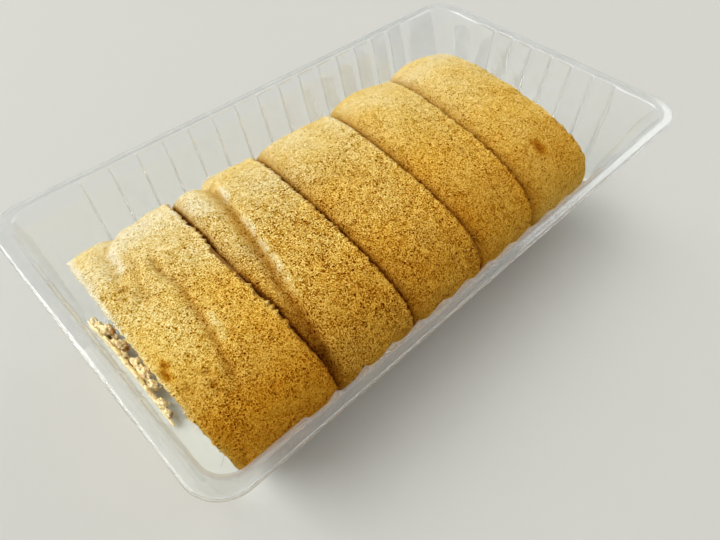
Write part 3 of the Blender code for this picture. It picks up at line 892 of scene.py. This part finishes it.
def tray_ring(half_x, half_y, corner, flute, z):
    """The tray's outline at one height, as in the solid but finer."""
    lines = (wall_line(FLUTE_PITCH_SIDE, FLUTES_SIDE), wall_line(FLUTE_PITCH_END, FLUTES_END))
    ring = []
    for quarter in range(4):
        along, out = (half_x, half_y) if quarter % 2 == 0 else (half_y, half_x)
        turn = math.pi / 2 * quarter
        line = lines[quarter % 2]
        squeeze = min(1.0, (along - corner) / line[-1][0])
        reach = max(0.0, along - corner - line[-1][0] * squeeze)
        wall = [(-line[-1][0] * squeeze - reach * (1 - k / 4), -out) for k in (1, 2, 3)]
        wall += [(t * squeeze, -out - lift * flute) for t, lift in line]
        wall += [(line[-1][0] * squeeze + reach * k / 4, -out) for k in (1, 2, 3)]
        bend = [math.radians(-90 + 90 * i / CORNER_POINTS) for i in range(CORNER_POINTS + 1)]
        wall += [(along - corner + corner * math.cos(a), -out + corner + corner * math.sin(a))
                 for a in bend]
        ring += [(p * math.cos(turn) - q * math.sin(turn), p * math.sin(turn) + q * math.cos(turn), z)
                 for p, q in wall]
    return ring


def tray_rings(sheet):
    """The underside of the tray, from the floor's middle to the flange's turned-down edge."""
    mouth_x = TRAY_LENGTH / 2 - FLANGE_END
    mouth_y = TRAY_WIDTH / 2 - FLANGE_SIDE - FLUTE_DEPTH

    def wall(z, inset=0.0, flute=1.0):
        drop = TRAY_HEIGHT - z
        corner = BASE_CORNER + (MOUTH_CORNER - BASE_CORNER) * z / TRAY_HEIGHT
        return tray_ring(mouth_x - END_DRAFT * drop - inset, mouth_y - SIDE_DRAFT * drop - inset,
                         max(corner - 0.3 * inset, 2.0), flute * FLUTE_DEPTH, z)

    rings = [wall(0.0, inset, 0.0) for inset in (26.0, 14.0, 7.0, 4.0)]
    for k in range(6):
        angle = math.pi / 2 * k / 6
        rings.append(wall(BASE_ROUND * (1 - math.cos(angle)),
                          BASE_ROUND * (1 - math.sin(angle)), 0.2 + 0.8 * math.sin(angle)))
    foot = 2 * BASE_ROUND
    shoulder = TRAY_HEIGHT - 2.4
    rings += [wall(foot + (shoulder - foot) * k / 7) for k in range(8)]
    # The flute's top closes in a small round shelf under the flange.
    top = TRAY_HEIGHT - sheet
    for out, z, flute in ((0.03, top - 1.2, 0.97), (0.12, top - 0.8, 0.88), (0.3, top - 0.42, 0.68),
                          (0.55, top - 0.15, 0.42), (0.85, top, 0.15), (1.15, top + 0.05, 0.0)):
        rings.append(tray_ring(mouth_x + out, mouth_y + out + 0.35 * (1 - flute), MOUTH_CORNER + out,
                               flute * FLUTE_DEPTH, z))
    edge_x, edge_y = TRAY_LENGTH / 2 - sheet, TRAY_WIDTH / 2 - sheet
    for inset, z in ((1.7, top), (0.9, top - 0.02), (0.3, top), (0.12, top - 0.03),
                     (0.03, top - 0.12), (0.0, top - 0.3), (0.0, top - 1.0)):
        rings.append(tray_ring(edge_x - inset, edge_y - inset, FLANGE_CORNER - 0.5 * inset, 0.0, z))
    return rings


def build_tray(settings, material):
    sheet = settings.sheet / MM
    rings = tray_rings(sheet)
    form = bmesh.new()
    ring = first_ring(form, rings[0])
    for places in rings[1:]:
        ring = next_ring(form, ring, places)
    piece = finish_piece("clear_tray", form, (material,), ("tray",))
    wall = piece.modifiers.new("Sheet", "SOLIDIFY")
    wall.thickness = settings.sheet
    wall.offset = 1.0
    wall.use_even_offset = False
    return piece


def torn_strip_form():
    """The strip's standing wall: a thin, wavy, torn-topped ribbon along the end wall."""
    form = bmesh.new()
    layer = form.verts.layers.float.new("lump_browning_and_shade")
    line = np.array(TORN_LINE)
    ring = None
    for i in range(TORN_STEPS + 1):
        t = i / TORN_STEPS * (len(line) - 1)
        x = np.interp(t, range(len(line)), line[:, 0])
        y = np.interp(t, range(len(line)), line[:, 1])
        height = np.interp(t, range(len(line)), TORN_HEIGHTS)
        height *= 1 + 0.34 * noise.noise(Vector((y / 2.2, 1.0, 0.0)))
        thick = 0.6 + 0.3 * noise.noise(Vector((y / 3.0, 7.0, 0.0)))
        thick *= min(1.0, 0.3 + (TORN_STEPS - i) / 25, 0.4 + i / 10)
        places = []
        for k in range(TORN_SIDES):
            angle = 2 * math.pi * k / TORN_SIDES
            rise = 0.5 + 0.5 * math.sin(angle)
            out = math.copysign(abs(math.cos(angle)) ** 0.6, math.cos(angle)) * thick
            out *= 1 + 0.4 * (1 - rise)
            z = SOLE_Z - 0.1 + height * rise
            place = Vector((x + out - 0.13 * height * rise, y, z))
            place.x += 0.28 * noise.noise(place / 1.3)
            place.z += 0.22 * noise.noise(place / 1.1 + Vector((5, 5, 5))) * rise
            places.append(place)
        ring = first_ring(form, places) if ring is None else next_ring(form, ring, places)
    bmesh.ops.contextual_create(form, geom=ring_edges(form, ring))
    for vert in form.verts:
        vert[layer] = 0.0
    return form, layer


def add_lump(form, layer, center, size, stretch, dice, lump_browning_and_shade, detail=4):
    """Add one torn lump of sponge to a form, browner at random, with painted shade in its torn dips,
    on its side turned from the light and at its foot.
    """
    made = bmesh.ops.create_icosphere(form, subdivisions=detail, radius=1.0)["verts"]
    shift = Vector((dice.uniform(0, 50), dice.uniform(0, 50), dice.uniform(0, 50)))
    for vert in made:
        direction = vert.co.normalized()
        rough = noise.noise(direction * 2.0 + shift)
        torn = abs(noise.noise(direction * 3.0 + shift)) + 0.5 * abs(noise.noise(direction * 8.0 + shift))
        crumb = noise.noise(direction * 16.0 + shift)
        swell = 1.2 + 0.45 * rough - 0.8 * torn + 0.16 * crumb
        reach = Vector((direction.x * stretch[0], direction.y * stretch[1], direction.z * stretch[2]))
        vert.co = Vector(center) + reach * swell * size
        vert.co.z = max(vert.co.z, SOLE_Z - 0.15)
        # Painted shade on the side turned from the light and at the foot, with random browning and shade
        # in the torn dips.
        away = 0.5 * (direction.x - direction.y) - 0.5 * direction.z
        vert[layer] = lump_browning_and_shade * min(1.0, max(0.0, away - 0.1 + 0.6 * rough + 0.4 * torn))


def build_torn_strip(material):
    dice = random.Random(SEED)
    form, layer = torn_strip_form()
    for place, size, long, lump_browning_and_shade in TORN_LUMPS:
        stretch = (dice.uniform(0.7, 0.9), long, dice.uniform(0.9, 1.2))
        add_lump(form, layer, place, size, stretch, dice, lump_browning_and_shade)
    return finish_piece("torn_sponge_strip", form, (material,), ("torn_strip",))


def build_crumbs(material):
    """Loose crumbs on the tray's floor, most of them by the torn strip."""
    dice = random.Random(SEED + 1)
    form = bmesh.new()
    layer = form.verts.layers.float.new("lump_browning_and_shade")
    for count, along_y, along_x, sizes in CRUMBS:
        for _ in range(count):
            y, x, size = dice.uniform(*along_y), dice.uniform(*along_x), dice.uniform(*sizes)
            place = (x, y, CRUMB_FLOOR + size * 0.7)
            add_lump(form, layer, place, size, (1, 1, 0.8), dice, dice.random(), 2)
    return finish_piece("loose_crumbs", form, (material,))


# ---------------------------------------------------------------- operators


class ROLLCAKE_OT_tray(bpy.types.Operator):
    """Build the clear fluted tray"""

    bl_idname = "rollcake.tray"
    bl_label = "Tray"

    def execute(self, context):
        settings = context.scene.rollcake_tray
        build_tray(settings, clear_sheet(settings))
        return {"FINISHED"}


class ROLLCAKE_OT_slices(bpy.types.Operator):
    """Build the five slices of sponge"""

    bl_idname = "rollcake.slices"
    bl_label = "Slices"

    def execute(self, context):
        scene = context.scene
        skin = baked_skin(scene.rollcake_skin)
        crumb = cut_crumb(scene.rollcake_crumb)
        for index in range(SLICES):
            build_slice(index, skin, crumb)
        return {"FINISHED"}


class ROLLCAKE_OT_cream(bpy.types.Operator):
    """Build the swirl of cream in each slice"""

    bl_idname = "rollcake.cream"
    bl_label = "Cream"

    def execute(self, context):
        cream = whipped_cream(context.scene.rollcake_crumb)
        for index in range(SLICES):
            build_cream(index, cream)
        return {"FINISHED"}


class ROLLCAKE_OT_torn_strip(bpy.types.Operator):
    """Build the torn strip of sponge and the loose crumbs"""

    bl_idname = "rollcake.torn_strip"
    bl_label = "Torn strip and crumbs"

    def execute(self, context):
        torn = torn_sponge(context.scene.rollcake_crumb)
        build_torn_strip(torn)
        build_crumbs(torn)
        return {"FINISHED"}


class ROLLCAKE_OT_stage(bpy.types.Operator):
    """Build the floor, the lights and the camera"""

    bl_idname = "rollcake.stage"
    bl_label = "Stage"

    def execute(self, context):
        settings = context.scene.rollcake_stage
        context.scene.view_settings.view_transform = "Standard"
        build_floor(settings)
        build_lights(settings)
        build_camera()
        return {"FINISHED"}


def build_floor(settings):
    form = bmesh.new()
    bmesh.ops.create_circle(form, cap_ends=True, segments=96, radius=FLOOR_RADIUS)
    bmesh.ops.translate(form, vec=(0, 0, -FLOOR_DROP), verts=form.verts)
    mesh = bpy.data.meshes.new("floor")
    form.to_mesh(mesh)
    form.free()
    mesh.materials.append(studio_floor(settings))
    floor = bpy.data.objects.new("floor", mesh)
    bpy.context.scene.collection.objects.link(floor)


def add_lamp(name, place, size, power):
    lamp = bpy.data.lights.new(name, "AREA")
    lamp.shape = "RECTANGLE"
    lamp.size, lamp.size_y = size
    lamp.energy = power
    item = bpy.data.objects.new(name, lamp)
    item.location = place
    aim = Vector(LIGHT_TARGET) - Vector(place)
    item.rotation_euler = aim.to_track_quat("-Z", "Y").to_euler()
    bpy.context.scene.collection.objects.link(item)


def build_lights(settings):
    add_lamp("window", WINDOW_PLACE, WINDOW_SIZE, settings.key)
    add_lamp("fill", FILL_PLACE, FILL_SIZE, settings.key * FILL_SHARE)
    world = bpy.data.worlds.new("room")
    bpy.context.scene.world = world
    world.use_nodes = True
    sky = world.node_tree.nodes["Background"]
    sky.inputs["Color"].default_value = (1.0, 0.985, 0.95, 1.0)
    sky.inputs["Strength"].default_value = settings.sky


def build_camera():
    azimuth, pitch, roll = (math.radians(v) for v in (CAMERA_AZIMUTH, CAMERA_PITCH, CAMERA_ROLL))
    forward = Vector((-math.sin(azimuth) * math.cos(pitch), math.cos(azimuth) * math.cos(pitch),
                      -math.sin(pitch)))
    level = Vector((math.cos(azimuth), math.sin(azimuth), 0.0))
    down = forward.cross(level)
    right = level * math.cos(roll) - down * math.sin(roll)
    down = level * math.sin(roll) + down * math.cos(roll)
    data = bpy.data.cameras.new("camera")
    data.sensor_fit = "HORIZONTAL"
    data.sensor_width = CAMERA_SENSOR
    data.lens = CAMERA_LENS
    data.clip_start = 0.005
    camera = bpy.data.objects.new("camera", data)
    turn = Matrix((right, -down, -forward)).transposed().to_4x4()
    camera.matrix_world = Matrix.Translation(CAMERA_PLACE) @ turn
    bpy.context.scene.collection.objects.link(camera)
    bpy.context.scene.camera = camera


class ROLLCAKE_PT_panel(bpy.types.Panel):
    """Lists the roll cake's pieces"""

    bl_idname = "ROLLCAKE_PT_panel"
    bl_label = "Roll cake"
    bl_space_type = "VIEW_3D"
    bl_region_type = "UI"
    bl_category = "Roll cake"

    def draw(self, context):
        for operator in OPERATORS:
            self.layout.operator(operator.bl_idname)
        for group in SETTINGS:
            settings = getattr(context.scene, group)
            for name in settings.__annotations__:
                self.layout.prop(settings, name)


OPERATORS = (ROLLCAKE_OT_tray, ROLLCAKE_OT_slices, ROLLCAKE_OT_cream, ROLLCAKE_OT_torn_strip,
             ROLLCAKE_OT_stage)
SETTINGS = {
    "rollcake_skin": RollCakeSkin,
    "rollcake_crumb": RollCakeCrumb,
    "rollcake_tray": RollCakeTray,
    "rollcake_stage": RollCakeStage,
}
CLASSES = (*SETTINGS.values(), *OPERATORS, ROLLCAKE_PT_panel)


def register():
    for item in CLASSES:
        bpy.utils.register_class(item)
    for name, group in SETTINGS.items():
        setattr(bpy.types.Scene, name, PointerProperty(type=group))


def unregister():
    for name in SETTINGS:
        delattr(bpy.types.Scene, name)
    for item in reversed(CLASSES):
        bpy.utils.unregister_class(item)


def main():
    register()
    bpy.ops.rollcake.tray()
    bpy.ops.rollcake.slices()
    bpy.ops.rollcake.cream()
    bpy.ops.rollcake.torn_strip()
    bpy.ops.rollcake.stage()


if __name__ == "__main__":
    main()
